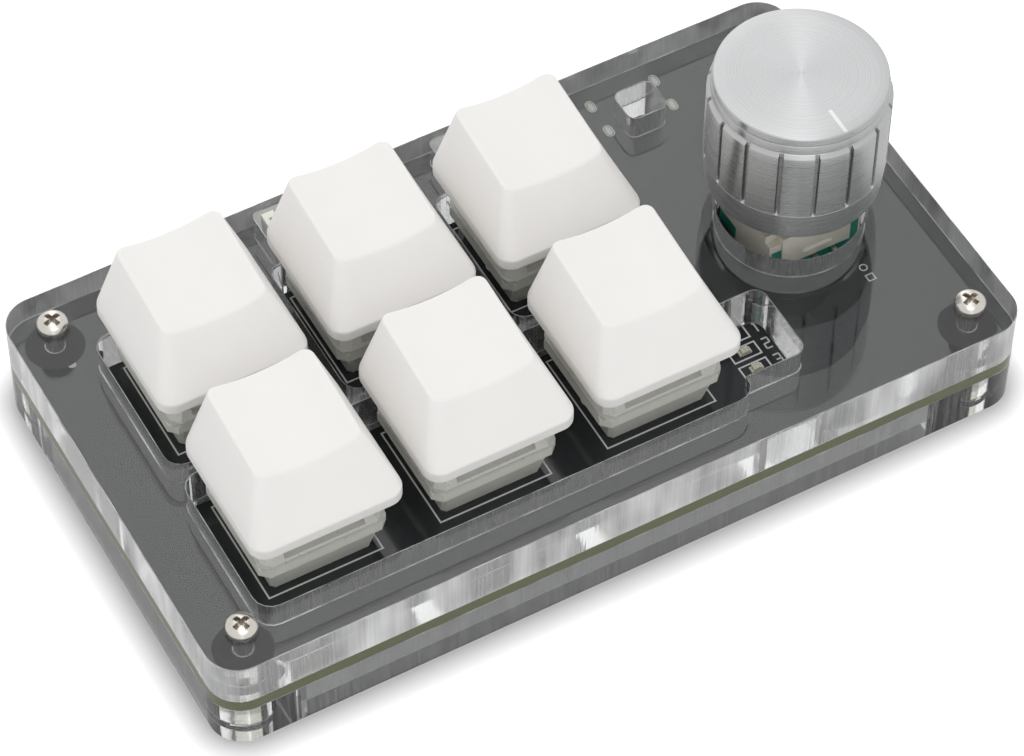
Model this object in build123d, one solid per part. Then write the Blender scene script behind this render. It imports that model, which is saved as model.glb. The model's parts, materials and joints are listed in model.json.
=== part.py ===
from build123d import *
import math
import os

os.makedirs("parts", exist_ok=True)

# Millimetres, with X to the right, Y to the back and Z up.
# The origin is on the table under the middle of the plates.

# Layout: the keys, lamps and knob and the strips round them make the length and width of the plates
key_cols = 3
key_rows = 2
pitch_x = 21.2
pitch_y = 22.25
edge_left = 18.1
edge_front = 18.0
edge_back = 16.75
edge_right = 14.4
lamp_gap = 13.4
knob_gap = 13.7
plate_l = edge_left + (key_cols - 1) * pitch_x + lamp_gap + knob_gap + edge_right
plate_w = edge_front + (key_rows - 1) * pitch_y + edge_back
key_x0 = edge_left - plate_l / 2
key_y0 = edge_front - plate_w / 2
last_x = key_x0 + (key_cols - 1) * pitch_x
enc_x = plate_l / 2 - edge_right
enc_y = 0.0

# Plates and circuit board
plate_t = 6.0
corner_r = 4.0
pcb_t = 1.6
film = 0.03
z_pcb_low = plate_t + film
z_pcb = z_pcb_low + pcb_t
z_plate = z_pcb + film
z_top = z_plate + plate_t
frame_side = 9.5
frame_rim = 4.5
frame_r = 2.0
beyond = 1.0

# Corner screws and threaded inserts
screw_inset = 5.0
screw_d = 2.0
screw_len = 12.0
head_d = 3.7
head_h = 1.35
head_rim = 0.6
head_top_d = 2.5
recess_l = 2.1
recess_w = 0.44
recess_depth = 0.75
recess_turn = 20
hole_gap = 0.12
thread_gap = 0.02
insert_d = 3.2
insert_floor = 0.6
press_gap = 0.02
head_sides = 16
thread_sides = 8
hole_sides = 12
insert_sides = 12

# Keycaps, heights from the top of the circuit board
cap_low = 10.3
cap_half = 9.2
band_h = 1.5
band_z = cap_low + band_h
side_slope = 0.42
front_slope = 0.75
back_slope = 0.147
cap_low_r = 2.8
cap_top_r = 2.0
cap_in_r = 1.2
corner_steps = 4
cap_front_z = 18.2
cap_back_z = 19.3
blank_z = cap_back_z + 1.5
cap_wall = 1.3
cap_roof = 1.9
cap_ceiling = min(cap_front_z, cap_back_z) - cap_roof
dish_r = 26.0
dish_depth = 0.75
dish_strip = 2.6
post_d = 5.4
cross_l = 4.0
cross_t = 1.2
cross_gap = 0.03

# Switches, heights from the top of the circuit board
flange_z = 4.0
flange_h = 1.2
flange_w = 15.6
flange_d = 14.6
under_x = 1.1
under_y = 0.2
joint_z = flange_z + flange_h
lip_h = 0.5
step_x = 0.4
step_y = 0.1
floor_t = 0.8
cavity = 10.6
foot_x = cavity / 2 + 0.9
foot_y = cavity / 2 + 0.7
house_wall = 1.1
house_roof = 1.3
slot_low = 6.0
slot_high = 7.4
slot_x = 4.9
slot_y = 6.2
pin_d = 2.2
guide_wall = 1.0
guide_d = pin_d + 2 * guide_wall
guide_top = 4.2
peg_floor = 1.0
slide_gap = 0.05
stem_w = 7.2
stem_d = 6.0
skirt_gap = 0.6
skirt_w = cavity - 2 * skirt_gap
skirt_low = 5.0
skirt_top = 10.3
skirt_room = 0.15
stem_room = 0.5
neck_h = 1.1
stem_top = skirt_top + neck_h
cross_h = 3.7
cross_top = stem_top + cross_h
socket_gap = 0.2
pin_end = 3.2
house_z = skirt_top + house_roof
house_x = skirt_w / 2 + skirt_room + 0.65
house_y = stem_d / 2 + stem_room + 1.0
spring_room = 0.5
spring_d = guide_d + spring_room
spring_gap = 0.3
pocket_d = spring_d + 2 * spring_gap
spring_seat = 8.4
spring_turns = 3
spring_sides = 6
wire = 0.28
peg_d = 3.9
peg_len = 3.0
side_peg_d = 1.7
side_peg_x = 5.08
side_peg_len = 2.6
peg_gap = 0.05
sink = 0.1
leg_w = 0.8
leg_t = 0.2
leg_len = 3.2
leg_gap = 0.1
leg_slot = 0.2
leaf_t = 0.15
contact_a = (-3.81, 2.54)
contact_b = (2.54, 5.08)
leaf_a_y = 3.7
leaf_b_y = 4.45
leaf_a_top = 6.0
leaf_b_top = 7.0
leaf_a_end = 1.5
leaf_b_end = 2.5

# Openings of the upper plate: reach from the key centres, and the ribs and rims beside them
open_left = 10.2
open_right = 9.1
open_front = 12.1
open_back = 8.0
back_reach = 7.85
col_rib = 2.4
row_rib = 1.6
notch_rib = 1.05
notch_front = 4.3
notch_back = 0.8
rear_rim = 1.0
rear_window_w = 5.7
window_gap = 0.95
open_r = 2.2
back_r = 2.0
notch_r = 1.4
rear_r = 0.8

# Rotary encoder, heights from the top of the circuit board
enc_half_w = 5.85
enc_half_d = 5.6
enc_base_h = 5.0
cover_h = 2.1
enc_top = enc_base_h + cover_h
sheet = 0.3
apron_half = 4.6
apron_low = 2.2
boss_x = 0.2
boss_z = 3.4
boss_l = 4.0
boss_w = 0.9
boss_slope = 0.3
boss_rise = 0.22
leg_half = 1.0
leg_room = 0.7
shoulder = 1.6
shoulder_gap = 0.05
corner_cut = 1.0
wall_back = 5.0
shaft_d = 6.0
bush_wall = 0.5
bush_d = shaft_d + 2 * bush_wall
bush_h = 6.5
bush_top = enc_top + bush_h
shaft_h = 6.4
shaft_top = bush_top + shaft_h
shaft_flat = 1.5
flat_low = 0.6
run_gap = 0.04
foot_d = 4.0
foot_flat = 1.4
collar_d = 7.6
collar_h = 0.75
chamber_d = 9.4
chamber_z = 1.5
rotor_gap = 0.3
rotor_d = chamber_d - 2 * rotor_gap
rotor_low = 0.2
rotor_h = 1.8
rotor_teeth = 10
tooth = 0.5
dome_z = 0.4
dome_h = 0.72
dome_r = 3.7
dome_gap = 0.3
foot_gap = 0.03
skin = 0.12
pin_row_y = 1.9
pin_back_y = 1.4
pin_pitch = 2.5
pin_w = 0.6
pin_t = 0.3
pin_z = 1.5

# Hole for the knob in the upper plate, which clears the encoder
hole_x = enc_x - 0.2
hole_y = enc_y - 0.3
hole_margin = 0.86
knob_hole_d = 2 * math.hypot(enc_half_w + sheet, enc_half_d) + hole_margin
hole_bevel = 0.35

# Knob, heights from the top of the circuit board
knob_low = 10.85
knob_high = 27.3
knob_r = 10.48
band_rise = 3.9
band_taper = 0.33
rim_fall = 2.85
flute_end = 0.43
chamfer = 0.36
chamfer_h = 0.45
crown = 0.2
knob_flutes = 16
flute_turn = 2.2
flute_w = 0.62
flute_depth = 0.3
flute_gap = 0.4
index_turn = -91.0
index_in = 6.2
index_rim = 0.8
index_w = 0.44
index_depth = 0.1
knob_rim = 1.98
cavity_r = knob_r - knob_rim
core_r = 5.8
core_sides = 24
cavity_h = 3.05
cavity_top = knob_low + cavity_h
core_clear = 1.0
core_low = bush_top + core_clear
knob_roof = 2.7
core_top = knob_high - knob_roof
core_fit = 0.02
core_end = 0.3
pocket_x = 4.2
pocket_w = 3.0
pocket_t = 0.7
pocket_h = 7.0

# USB-C inlet under the board at the back edge
usb_inset = 21.9
usb_x = plate_l / 2 - usb_inset
usb_back = 0.3
usb_mouth = plate_w / 2 - usb_back
usb_len = 7.35
usb_w = 8.94
usb_h = 3.16
usb_wall = 0.3
usb_leg_front = 2.6
usb_leg_rear = 0.45
usb_leg_y = (usb_mouth - usb_leg_front, usb_mouth - usb_len + usb_leg_rear)
usb_leg_half = (0.6, 0.5)
usb_leg_x = (usb_w - usb_wall) / 2
usb_gap = 0.02
usb_z = z_pcb_low - usb_h / 2 - usb_gap
usb_block_l = 2.2
usb_block_side = 0.5
usb_block_step = 0.27
usb_crown_in = 0.9
usb_tongue_in = 0.33
usb_tongue_t = 0.7
usb_tongue_end = 1.0
usb_tails = 12
usb_tail_pitch = 0.5
usb_tail_w = 0.26
usb_tail_l = 0.9
usb_tail_t = 0.2
usb_notch = 0.73

# Lamps and the resistors in the rounded window
led_x = last_x + lamp_gap
led_count = 3
led_pitch = 2.625
led_y = [key_y0 - step * led_pitch for step in reversed(range(led_count))]
led_w = 1.6
led_lens = 1.0
led_d = 0.8
led_foot = 0.25
led_h = 0.6
window_x = usb_x - 0.2
window_w = 5.0
window_d = 4.6
window_rim = 5.0
window_r = 1.0
resistor_l = 1.6
resistor_w = 0.8
resistor_h = 0.45
resistor_pitch = 2.4
resistor_x = usb_x + 0.2
resistor_rim = 6.7

# Parts under the board
chip_x = led_x - 0.5
chip_y = 2.0
chip_w = 3.9
chip_l = 9.9
chip_h = 1.45
stand_off = 0.15
mark_in = 0.75
mark_d = 0.7
lead_pitch = 1.27
lead_rows = 8
lead_w = 0.4
lead_t = 0.2
lead_reach = 1.05
lead_rise = 0.95
cap_h = 0.6
cap_gap_x = 4.8
cap_gap_y = 7.6
cap_pitch = 4.0
diode_x = 1.0
diode_y = 5.5
diode_l = 2.7
diode_w = 1.6
diode_h = 0.95
diode_lead_l = 3.7
diode_lead_w = 0.6

# Power socket and power slide switch in the two rear windows
rear_y = plate_w / 2 - rear_rim - rear_window_w / 2
pin_reach = 1.4
pin_room = 1.35
post = 0.5
post_gap = 0.01
plug_shift = 3.45
plug_mid = key_x0 + pitch_x - plug_shift
plug_w = 5.9
plug_d = 4.5
plug_h = 6.0
plug_pitch = 2.0
plug_side = 0.6
plug_front = 0.5
plug_back = 0.9
plug_floor = 1.4
plug_post_h = 5.0
plug_key = 2.8
plug_key_z = 2.5
power_shift = 0.3
power_mid = last_x - power_shift
power_w = 8.6
power_d = 4.4
power_h = 3.6
power_pitch = 2.5
cover_in = 0.3
cover_room = 1.0
slider_travel = 2.0
thumb_w = 1.9
thumb_d = 1.6
thumb_h = 3.3
thumb_gap = 0.08
slide_end = 0.3
slide_side = 0.1
slider_gap = 0.05
slider_low = 0.02
slider_l = power_w - 2 * (cover_in + sheet + slide_end) - slider_travel
slider_d = power_d - 2 * (sheet + slide_side)


def block(x0, x1, y0, y1, z0, z1):
    """Box between two corners."""
    box = Box(x1 - x0, y1 - y0, z1 - z0)
    return Pos((x0 + x1) / 2, (y0 + y1) / 2, (z0 + z1) / 2) * box


def pad(x, y, half_x, half_y, z0, z1):
    """Box about an upright axis."""
    return block(x - half_x, x + half_x, y - half_y, y + half_y, z0, z1)


def span(xa, xb, y0, y1, z0, z1):
    """Box whose two X ends come in either order."""
    return block(min(xa, xb), max(xa, xb), y0, y1, z0, z1)


def rod(x, y, z0, z1, d):
    """Upright cylinder between two heights."""
    return Pos(x, y, (z0 + z1) / 2) * Cylinder(d / 2, z1 - z0)


def pin(x, y, z0, z1, d, sides=8):
    """Upright many-sided pin between two heights."""
    return Pos(x, y, z0) * extrude(RegularPolygon(d / 2, sides), z1 - z0)


def rounded(x0, x1, y0, y1, z0, z1, r):
    """Upright prism with rounded corners."""
    face = RectangleRounded(x1 - x0, y1 - y0, r)
    return Pos((x0 + x1) / 2, (y0 + y1) / 2, z0) * extrude(face, z1 - z0)


def outline(x0, x1, y0, y1, r, z, steps=corner_steps):
    """Corner points of a rectangle whose corners turn in a few straight steps."""
    points = []
    for cx, cy, start in ((x1 - r, y0 + r, -90), (x1 - r, y1 - r, 0), (x0 + r, y1 - r, 90), (x0 + r, y0 + r, 180)):
        for step in range(steps + 1):
            turn = math.radians(start + 90 * step / steps)
            points.append((cx + r * math.cos(turn), cy + r * math.sin(turn), z))
    return points


def centred(half_x, half_y, r, z, steps=1):
    """Outline about the upright axis."""
    return outline(-half_x, half_x, -half_y, half_y, r, z, steps)


def circle(r, z, sides):
    """Corner points of a level many-sided ring about the upright axis."""
    turns = [math.radians(360 * step / sides) for step in range(sides)]
    return [(r * math.cos(turn), r * math.sin(turn), z) for turn in turns]


def stack(*levels):
    """Flat-faced solid through outlines with matching corners, lowest first."""
    faces = [make_face(Polyline(*level, close=True)) for level in (levels[0], levels[-1])]
    for low, high in zip(levels, levels[1:]):
        for i in range(len(low)):
            j = (i + 1) % len(low)
            faces.append(make_face(Polyline(low[i], low[j], high[j], high[i], close=True)))
    return Solid(Shell(faces))


def prism(x0, x1, y0, y1, z0, z1, r, steps=corner_steps):
    """Upright prism with stepped corners."""
    return stack(outline(x0, x1, y0, y1, r, z0, steps), outline(x0, x1, y0, y1, r, z1, steps))


def slab(z0, t):
    """Full outline of the plates."""
    half_l = plate_l / 2
    half_w = plate_w / 2
    return rounded(-half_l, half_l, -half_w, half_w, z0, z0 + t, corner_r)


def corners():
    """Centres of the corner screws."""
    cx = plate_l / 2 - screw_inset
    cy = plate_w / 2 - screw_inset
    return [(-cx, -cy), (cx, -cy), (cx, cy), (-cx, cy)]


def key_centres():
    """Key centres, front row first, from left to right."""
    places = []
    for row in range(key_rows):
        for col in range(key_cols):
            places.append((key_x0 + col * pitch_x, key_y0 + row * pitch_y))
    return places


def drilled(body, z0, z1):
    """Corner screw holes through a plate."""
    for x, y in corners():
        body -= pin(x, y, z0 - beyond, z1 + beyond, screw_d + 2 * hole_gap, hole_sides)
    return body


# Plates

def key_openings(low, high):
    """One opening for the front row with the lamp notch, and one for each key behind it."""
    front = key_y0 - open_front
    cut = prism(key_x0 - open_left, last_x + open_right, front, key_y0 + open_back, low, high, open_r)
    notch_right = hole_x - knob_hole_d / 2 - notch_rib
    cut += prism(last_x, notch_right, led_y[0] - notch_front, led_y[-1] + notch_back, low, high, notch_r)
    half = (pitch_x - col_rib) / 2
    for x, y in key_centres()[key_cols:]:
        left = key_x0 - open_left if x == key_x0 else x - half
        cut += prism(left, x + half, y - pitch_y + open_back + row_rib, y + back_reach, low, high, back_r)
    return cut


def rear_windows(low, high):
    """Rounded window over the resistors and the two windows for the parts at the back edge."""
    back = plate_w / 2
    top = back - window_rim
    cut = prism(window_x - window_w / 2, window_x + window_w / 2, top - window_d, top, low, high, window_r, 3)
    for mid, width in ((plug_mid, plug_w), (power_mid, power_w)):
        half = width / 2 + window_gap
        cut += prism(mid - half, mid + half, back - rear_rim - rear_window_w, back - rear_rim, low, high, rear_r, 2)
    return cut


def make_top_plate():
    """Clear upper plate with the key, knob and connector openings."""
    low = z_plate - beyond
    high = z_top + beyond
    body = slab(z_plate, plate_t) - key_openings(low, high) - rear_windows(low, high)
    r = knob_hole_d / 2
    body -= rod(hole_x, hole_y, low, high, knob_hole_d)
    body -= Pos(hole_x, hole_y, z_top) * Cone(r, r + 2 * hole_bevel, 2 * hole_bevel)
    return drilled(body, z_plate, z_top)


def make_circuit_board():
    """Circuit board with its drilled and slotted holes."""
    low = z_pcb_low - beyond
    high = z_pcb + beyond
    body = slab(z_pcb_low, pcb_t)
    for x, y in key_centres():
        body -= pin(x, y, low, high, peg_d + 2 * peg_gap)
        for side in (-1, 1):
            body -= pin(x + side * side_peg_x, y, low, high, side_peg_d + 2 * peg_gap, 6)
        for px, py in (contact_a, contact_b):
            body -= pad(x + px, y + py, leg_w / 2 + leg_slot, leg_t / 2 + 2 * leg_slot, low, high)
    hole = pin_w / 2 + leg_gap
    for dx, dy in encoder_pin_places():
        body -= pad(enc_x + dx, enc_y + dy, hole, hole, low, high)
    for side in (-1, 1):
        mid = enc_x + side * (enc_half_w + sheet / 2)
        body -= pad(mid, enc_y, sheet / 2 + leg_gap, leg_half + leg_slot, low, high)
        for y in usb_leg_y:
            body -= pad(usb_x + side * usb_leg_x, y, usb_wall / 2 + leg_slot, usb_leg_half[0] + leg_gap, low, high)
    hole = post / 2 + leg_gap
    for x, y in plug_pin_places() + power_pin_places():
        body -= pad(x, y, hole, hole, low, high)
    return drilled(body, z_pcb_low, z_pcb)


def make_bottom_plate():
    """Clear lower frame, open in the middle and behind the inlet."""
    low = -beyond
    high = plate_t + beyond
    in_x = plate_l / 2 - frame_side
    in_y = plate_w / 2 - frame_rim
    body = slab(0, plate_t) - prism(-in_x, in_x, -in_y, in_y, low, high, frame_r)
    half = usb_w / 2 + usb_notch
    body -= block(usb_x - half, usb_x + half, in_y - 1, plate_w / 2 + beyond, low, high)
    for places in (plug_pin_places(), power_pin_places()):
        left = places[0][0] - post / 2 - pin_room
        right = places[-1][0] + post / 2 + pin_room
        body -= block(left, right, rear_y - pin_room, rear_y + pin_room, low, high)
    leg_x = enc_x + enc_half_w + sheet + leg_room
    body -= block(enc_x, leg_x, enc_y - leg_half - leg_room, enc_y + leg_half + leg_room, low, high)
    for x, y in corners():
        body -= pin(x, y, insert_floor, high, insert_d + 2 * press_gap, insert_sides)
        body -= pin(x, y, low, plate_t, screw_d + 2 * hole_gap, thread_sides)
    return body


# Fasteners

def make_screw(x, y):
    """Pan head screw with a cross recess."""
    head = stack(circle(head_d / 2, 0, head_sides), circle(head_d / 2, head_rim, head_sides),
                 circle(head_top_d / 2, head_h, head_sides))
    for turn in (0, 90):
        slot = pad(0, 0, recess_l / 2, recess_w / 2, head_h - recess_depth, head_h + beyond)
        head -= Rot(0, 0, turn + recess_turn) * slot
    return Pos(x, y, z_top) * (head + pin(0, 0, -screw_len, 0, screw_d, thread_sides))


def make_insert(x, y):
    """Threaded sleeve pressed into the lower plate."""
    body = pin(x, y, insert_floor, plate_t, insert_d, insert_sides)
    return body - pin(x, y, insert_floor - beyond, plate_t + beyond, screw_d + 2 * thread_gap, thread_sides)


# Keys

def cap_level(z, r, inset=0.0, steps=corner_steps):
    """Outline of the keycap at a height, drawn in by a wall thickness."""
    rise = max(0.0, z - band_z)
    half_x = cap_half - side_slope * rise - inset
    front = -cap_half + front_slope * rise + inset
    back = cap_half - back_slope * rise - inset
    return outline(-half_x, half_x, front, back, r, z, steps)


def dish_cutter():
    """Shallow trough along the keycap, in flat strips, above a level seat."""
    strips = 4
    edges = [dish_strip * (step + 0.5) for step in range(strips)]
    sag = [(x, dish_r - math.sqrt(dish_r ** 2 - x ** 2) - dish_depth) for x in edges]
    floor = [(-x, z) for x, z in reversed(sag)] + sag
    reach = edges[-1]
    points = [(x, 0, z) for x, z in floor] + [(reach, 0, reach), (-reach, 0, reach)]
    face = make_face(Polyline(*points, close=True))
    return Pos(0, 2 * cap_half, 0) * extrude(face, 4 * cap_half, dir=(0, -1, 0))


def make_keycap():
    """Keycap with a dished top, thin walls and a cross socket."""
    body = stack(cap_level(cap_low, cap_low_r), cap_level(band_z, cap_low_r), cap_level(blank_z, cap_top_r))
    front_y = -cap_half + front_slope * (cap_front_z - band_z)
    back_y = cap_half - back_slope * (cap_back_z - band_z)
    tilt = math.degrees(math.atan2(cap_back_z - cap_front_z, back_y - front_y))
    seat = Pos(0, (front_y + back_y) / 2, (cap_front_z + cap_back_z) / 2) * Rot(tilt, 0, 0)
    body -= seat * dish_cutter()
    body -= stack(cap_level(cap_low, cap_in_r, cap_wall, 1), cap_level(cap_ceiling, cap_in_r, cap_wall, 1))
    body += pin(0, 0, stem_top, cap_ceiling + sink, post_d)
    return body - cross(stem_top - beyond, cross_top + socket_gap, cross_gap)


def cross(z0, z1, gap):
    """Upright cross of the stem, widened by a gap all round."""
    long = cross_l / 2 + gap
    thin = cross_t / 2 + gap
    return pad(0, 0, long, thin, z0, z1) + pad(0, 0, thin, long, z0, z1)


def make_stem():
    """Switch stem with its cross, skirt, spring pocket and guide pin."""
    skirt = pad(0, 0, skirt_w / 2, stem_d / 2, skirt_low, skirt_top)
    skirt -= pin(0, 0, skirt_low - beyond, spring_seat, pocket_d, 6)
    neck = pad(0, 0, stem_w / 2, stem_d / 2, skirt_top, stem_top)
    guide = pin(0, 0, pin_end, spring_seat, pin_d, 6)
    return skirt + neck + guide + cross(stem_top, cross_top, 0)


def make_spring():
    """Coil spring between the switch floor and the stem."""
    steps = spring_turns * spring_sides
    height = spring_seat - floor_t - 1.6 * wire
    points = []
    for step in range(steps + 1):
        turn = 2 * math.pi * step / spring_sides
        r = spring_d / 2
        points.append((r * math.cos(turn), r * math.sin(turn), height * step / steps))
    path = Polyline(*points)
    section = Plane(origin=path @ 0, z_dir=path % 0) * Rectangle(wire, wire)
    coil = sweep(section, path=path, transition=Transition.RIGHT)
    return Pos(0, 0, floor_t + 0.8 * wire) * coil


def make_switch_base():
    """Lower switch housing with flange, pegs and the guide sleeve."""
    half_w = flange_w / 2
    half_d = flange_d / 2
    body = stack(centred(foot_x, foot_y, 0.5, 0), centred(half_w - under_x, half_d - under_y, 0.5, flange_z))
    body += stack(centred(half_w, half_d, 1.0, flange_z), centred(half_w, half_d, 1.0, joint_z))
    body -= pad(0, 0, cavity / 2, cavity / 2, floor_t, joint_z + beyond)
    body += pin(0, 0, floor_t - sink, guide_top, guide_d, 6)
    body += pin(0, 0, -peg_len, sink, peg_d)
    body -= pin(0, 0, peg_floor - peg_len, joint_z, pin_d + 2 * slide_gap, 6)
    for side in (-1, 1):
        body += pin(side * side_peg_x, 0, -side_peg_len, sink, side_peg_d, 6)
    for px, py in (contact_a, contact_b):
        body -= pad(px, py, leg_w / 2 + leg_gap, leg_t / 2 + peg_gap, -beyond, floor_t + beyond)
    return body


def make_switch_top():
    """Upper switch housing with the stem hole and the front slot."""
    half_w = flange_w / 2
    half_d = flange_d / 2
    step_z = joint_z + lip_h
    body = stack(centred(half_w, half_d, 1.3, joint_z, 2), centred(half_w, half_d, 1.3, step_z, 2))
    body += stack(centred(half_w - step_x, half_d - step_y, 1.0, step_z), centred(house_x, house_y, 1.0, house_z))
    low = centred(half_w - step_x - house_wall, half_d - step_y - house_wall, 0.3, joint_z)
    high = centred(skirt_w / 2 + skirt_room, stem_d / 2 + stem_room, 0.3, skirt_top + slide_gap)
    body -= stack(low, high)
    body -= pad(0, 0, stem_w / 2 + slide_gap, stem_d / 2 + slide_gap, skirt_top - beyond, house_z + beyond)
    return body - block(-slot_x, slot_x, -half_d - beyond, -slot_y, slot_low, slot_high)


def make_contacts():
    """Fixed and moving leaf of a switch, each with its pin."""
    ax, ay = contact_a
    half = leg_w / 2
    top = floor_t + leaf_t
    fixed = pad(ax, ay, half, leg_t / 2, -leg_len, top)
    fixed += block(ax - half, ax + half, ay - leg_t / 2, leaf_a_y, floor_t, top)
    fixed += block(ax - half, leaf_a_end, leaf_a_y - leg_t, leaf_a_y, floor_t, leaf_a_top)
    bx, by = contact_b
    moving = pad(bx, by, half, leg_t / 2, -leg_len, top)
    moving += block(bx - half, bx + half, leaf_b_y - leaf_t, by + leg_t / 2, floor_t, top)
    moving += block(-leaf_b_end, bx + half, leaf_b_y - leaf_t, leaf_b_y, floor_t, leaf_b_top)
    return [fixed, moving]


# Encoder

def encoder_pin_places():
    """Three signal pins at the front and two switch pins at the back."""
    front = [(step * pin_pitch, -enc_half_d - pin_row_y) for step in (-1, 0, 1)]
    back = [(step * pin_pitch, enc_half_d + pin_back_y) for step in (-1, 1)]
    return front + back


def make_encoder_base():
    """Insulating base of the encoder with the rotor chamber."""
    body = pad(0, 0, enc_half_w, enc_half_d, 0, enc_base_h)
    body -= pin(0, 0, chamber_z, enc_base_h + beyond, chamber_d, core_sides)
    return body - pin(0, 0, dome_z, enc_base_h, 2 * (dome_r + dome_gap))


def make_encoder_frame():
    """Sheet cover with a front apron, side walls, threaded bushing and two mounting legs."""
    w = enc_half_w
    d = enc_half_d
    body = pad(0, 0, w, d, enc_base_h, enc_top)
    body += block(-apron_half, apron_half, -d - sheet, -d, apron_low, enc_top)
    boss = stack(centred(boss_l / 2, boss_w / 2, 0.4, 0),
                 centred(boss_l / 2 - boss_slope, boss_w / 2 - boss_slope, 0.14, boss_rise))
    body += Pos(boss_x, -d - sheet, boss_z) * Rot(90, 0, 0) * boss
    for side in (-1, 1):
        outer = side * (w + sheet)
        body += span(side * w, outer, -d, wall_back, apron_low, enc_top)
        body += span(side * w, outer, -shoulder, shoulder, shoulder_gap, apron_low)
        body += span(side * w, outer, -leg_half, leg_half, -peg_len, sink)
        reach = side * (w + beyond)
        inner = side * (apron_half + sink)
        body -= span(inner, reach, -d - beyond, -d + corner_cut, enc_top - corner_cut, enc_top + beyond)
    body += pin(0, 0, enc_top - sink, bush_top, bush_d, head_sides)
    return body - rod(0, 0, enc_base_h - beyond, bush_top + beyond, shaft_d + 2 * run_gap)


def make_encoder_pins():
    """Five bent terminals of the encoder."""
    pins = []
    high = pin_z + pin_t
    for dx, dy in encoder_pin_places():
        wall = math.copysign(enc_half_d, dy)
        end = dy + math.copysign(pin_t / 2, dy)
        arm = block(dx - pin_w / 2, dx + pin_w / 2, min(wall, end), max(wall, end), pin_z, high)
        pins.append(arm + pad(dx, dy, pin_w / 2, pin_t / 2, -peg_len, high))
    return pins


def make_encoder_rotor():
    """Detent wheel that turns with the shaft and lets it slide."""
    low = chamber_z + rotor_low
    points = []
    for step in range(2 * rotor_teeth):
        turn = math.pi * step / rotor_teeth
        r = rotor_d / 2 - tooth * (step % 2)
        points.append((r * math.cos(turn), r * math.sin(turn), low))
    body = extrude(make_face(Polyline(*points, close=True)), rotor_h)
    return body - shaft_foot(low - beyond, low + rotor_h + beyond, run_gap)


def shaft_foot(z0, z1, gap):
    """Flat-sided foot of the shaft, widened by a gap all round."""
    return pin(0, 0, z0, z1, foot_d + 2 * gap) & pad(0, 0, foot_flat + gap, foot_d, z0, z1)


def make_encoder_shaft():
    """Shaft with a retaining collar and a flat for the knob."""
    collar_top = enc_base_h - slide_gap
    collar_low = collar_top - collar_h
    body = shaft_foot(dome_z + dome_h + foot_gap, collar_low + sink, 0)
    body += pin(0, 0, collar_low, collar_top, collar_d, head_sides)
    body += rod(0, 0, collar_top - sink, shaft_top, shaft_d)
    return body - block(shaft_flat, shaft_d, -shaft_d, shaft_d, bush_top + flat_low, shaft_top + beyond)


def make_dome():
    """Snap dome under the shaft."""
    shape = [(dome_r, 0), (0.7 * dome_r, 0.625 * dome_h), (0.3 * dome_r, dome_h)]
    shell = stack(*[circle(r, z, 8) for r, z in shape])
    hollow = [(dome_r - skin, 0), (shape[1][0] - skin, shape[1][1] - skin / 2), (shape[2][0] - skin, dome_h - skin)]
    shell -= stack(*[circle(r, z, 8) for r, z in hollow])
    return Pos(0, 0, dome_z) * shell


# Knob

def make_knob():
    """Turned knob with a ribbed top rim and narrow flutes."""
    z0 = knob_low
    z1 = knob_high
    rim = z1 - rim_fall
    profile = [
        (0, z0), (knob_r - band_taper, z0), (knob_r, z0 + band_rise), (knob_r, rim),
        (knob_r - chamfer, rim + chamfer_h), (knob_r - chamfer - crown, z1), (0, z1),
    ]
    half_section = make_face(Polyline(*[(r, 0, z) for r, z in profile], close=True))
    body = revolve(half_section, Axis.Z, 360)
    body -= pin(0, 0, z0 - beyond, cavity_top, 2 * cavity_r, core_sides)
    body -= pin(0, 0, z0 - beyond, core_top, 2 * core_r, core_sides)
    half = flute_w / 2
    low = z0 + band_rise + flute_gap
    top = rim + flute_end
    flute = [(0, -half, low), (0, 0, low - half), (0, half, low), (0, half, top), (0, -half, top)]
    cutter = extrude(make_face(Polyline(*flute, close=True)), 2, dir=(1, 0, 0))
    for step in range(knob_flutes):
        angle = step * 360 / knob_flutes + flute_turn
        body -= Rot(0, 0, angle) * Pos(knob_r - flute_depth, 0, 0) * cutter
    index = block(index_in, knob_r - index_rim, -index_w / 2, index_w / 2, z1 - index_depth, z1 + beyond)
    return body - Rot(0, 0, index_turn) * index


def make_knob_core():
    """Moulded core that holds the knob on the flat of the shaft."""
    body = pin(0, 0, core_low, core_top, 2 * (core_r - press_gap), core_sides)
    bore = rod(0, 0, core_low - beyond, shaft_top + core_end, shaft_d + 2 * core_fit)
    bore -= block(shaft_flat + core_fit, shaft_d, -shaft_d, shaft_d, core_low - 2 * beyond, core_top)
    body -= bore
    half = pocket_w / 2
    pocket = block(pocket_x, pocket_x + pocket_t, -half, half, core_low - beyond, core_low + pocket_h)
    for step in range(4):
        body -= Rot(0, 0, 45 + step * 90) * pocket
    return body


# Electronics

def make_usb_shell():
    """Steel shell of the inlet with four legs through the board."""
    half_w = usb_w / 2
    half_h = usb_h / 2
    outer = prism(-half_w, half_w, -half_h, half_h, 0, usb_len, half_h - sink, 3)
    in_w = half_w - usb_wall
    in_h = half_h - usb_wall
    inner = prism(-in_w, in_w, -in_h, in_h, -beyond, usb_len + beyond, in_h - sink, 3)
    body = Pos(usb_x, usb_mouth, usb_z) * Rot(90, 0, 0) * (outer - inner)
    for side in (-1, 1):
        for y, half in zip(usb_leg_y, usb_leg_half):
            body += pad(usb_x + side * usb_leg_x, y, usb_wall / 2, half, usb_z, z_pcb)
    return body


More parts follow.
